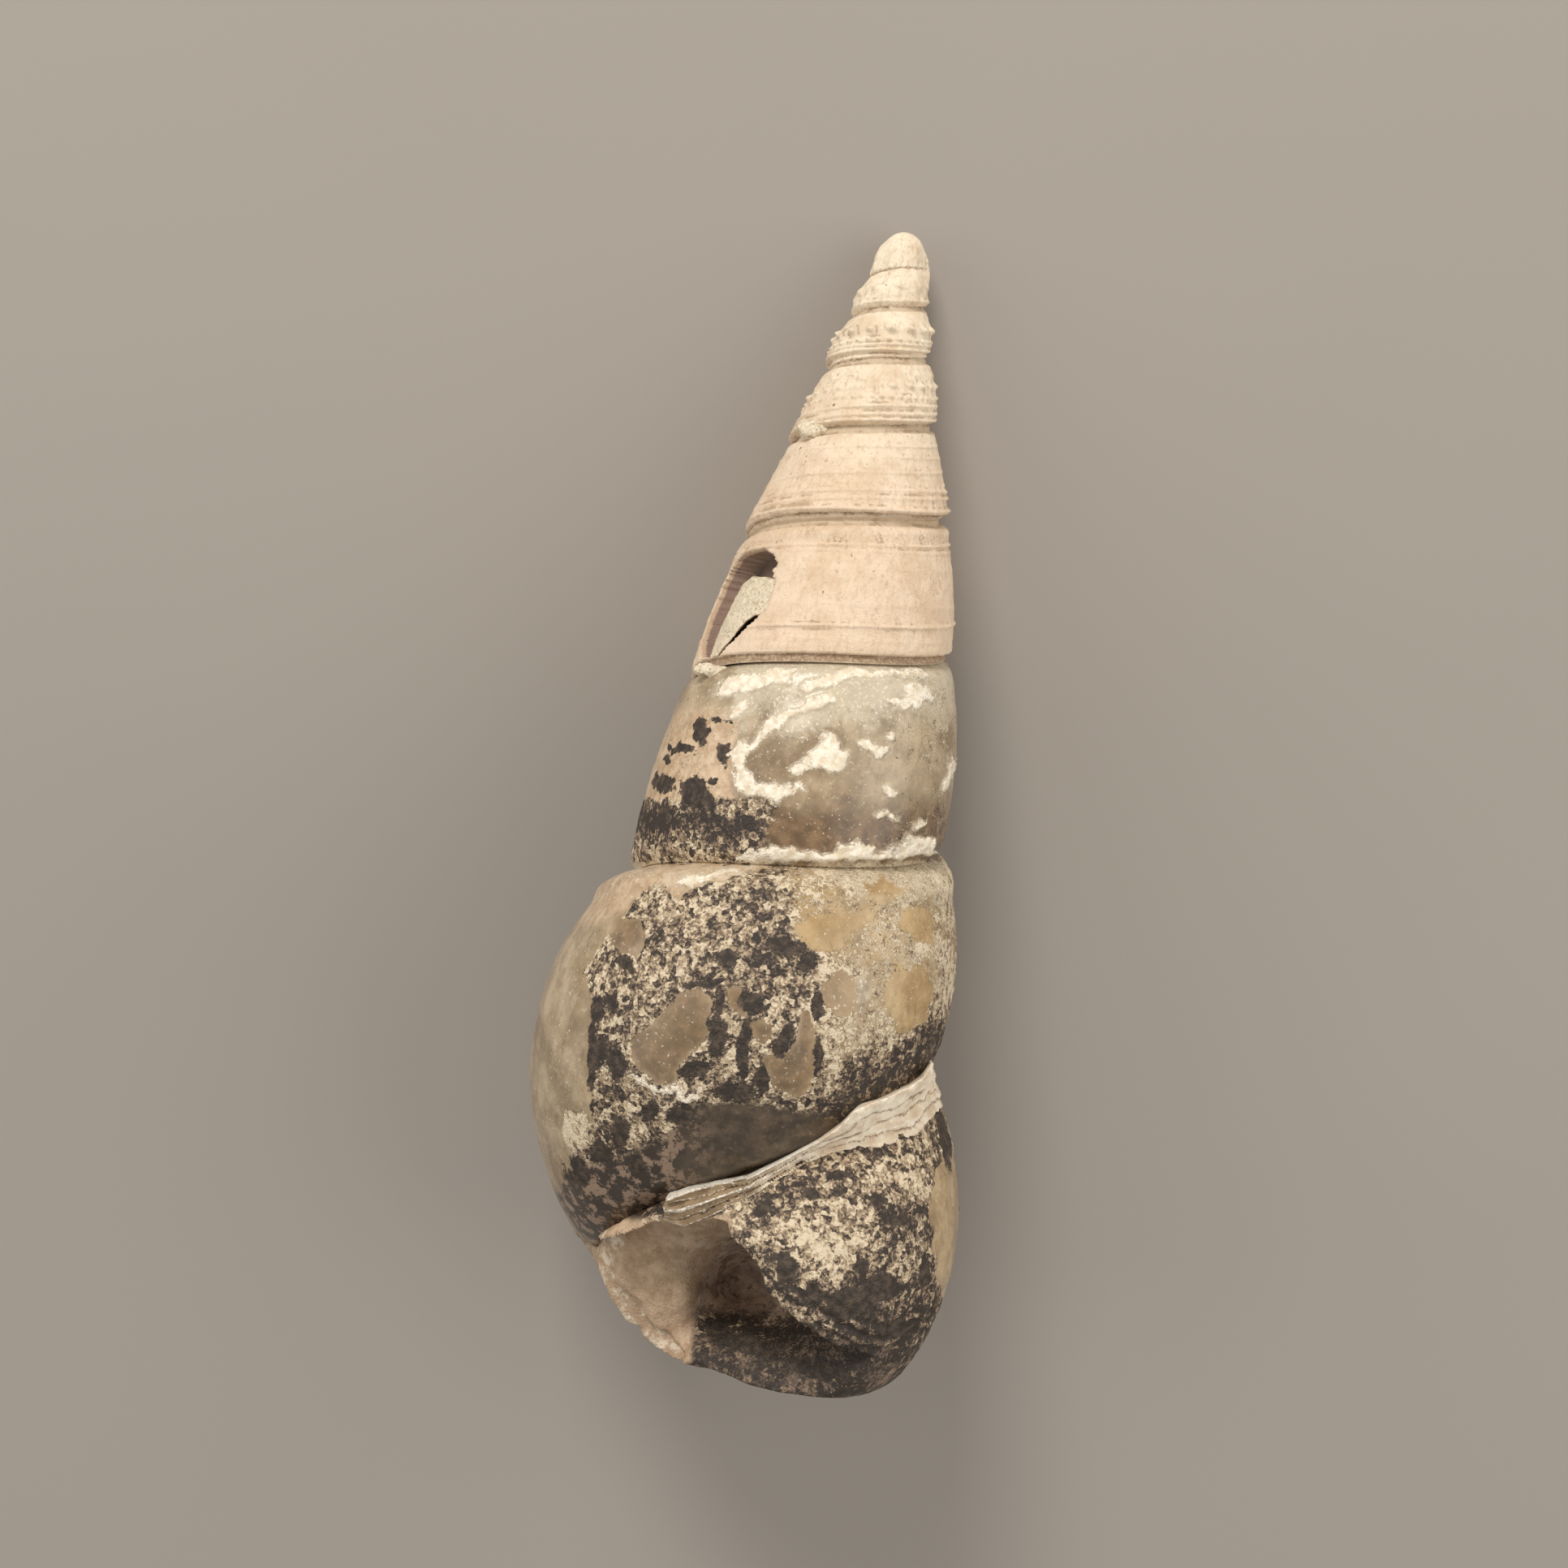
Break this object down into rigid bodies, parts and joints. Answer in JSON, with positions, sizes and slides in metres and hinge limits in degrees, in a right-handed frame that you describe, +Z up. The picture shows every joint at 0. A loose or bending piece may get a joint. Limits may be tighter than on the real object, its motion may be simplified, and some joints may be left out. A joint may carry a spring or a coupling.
{
  "type": "fossil turret shell",
  "caption": "Fossil turret shell lying on its back: a long tapering spiral with chalky ribbed upper whorls, a mottled stone cast below and a broken, hollowed base.",
  "frame": {"origin": "middle of the footprint, on the surface that the shell rests on", "axes": "+Y towards the tip, +Z up from the surface, +X to the right seen from above with the tip pointing away"},
  "size_m": [0.0178, 0.0444, 0.0176],
  "materials": {
    "stone_cast": "polished grey-brown and amber stone under a mottled black and cream crust",
    "chalky_shell": "matt cream-pink chalky shell",
    "grit": "rough grey-tan grit"
  },
  "bodies": {
    "root": {"turret_shell": "stone_cast"}
  },
  "joints": []
}
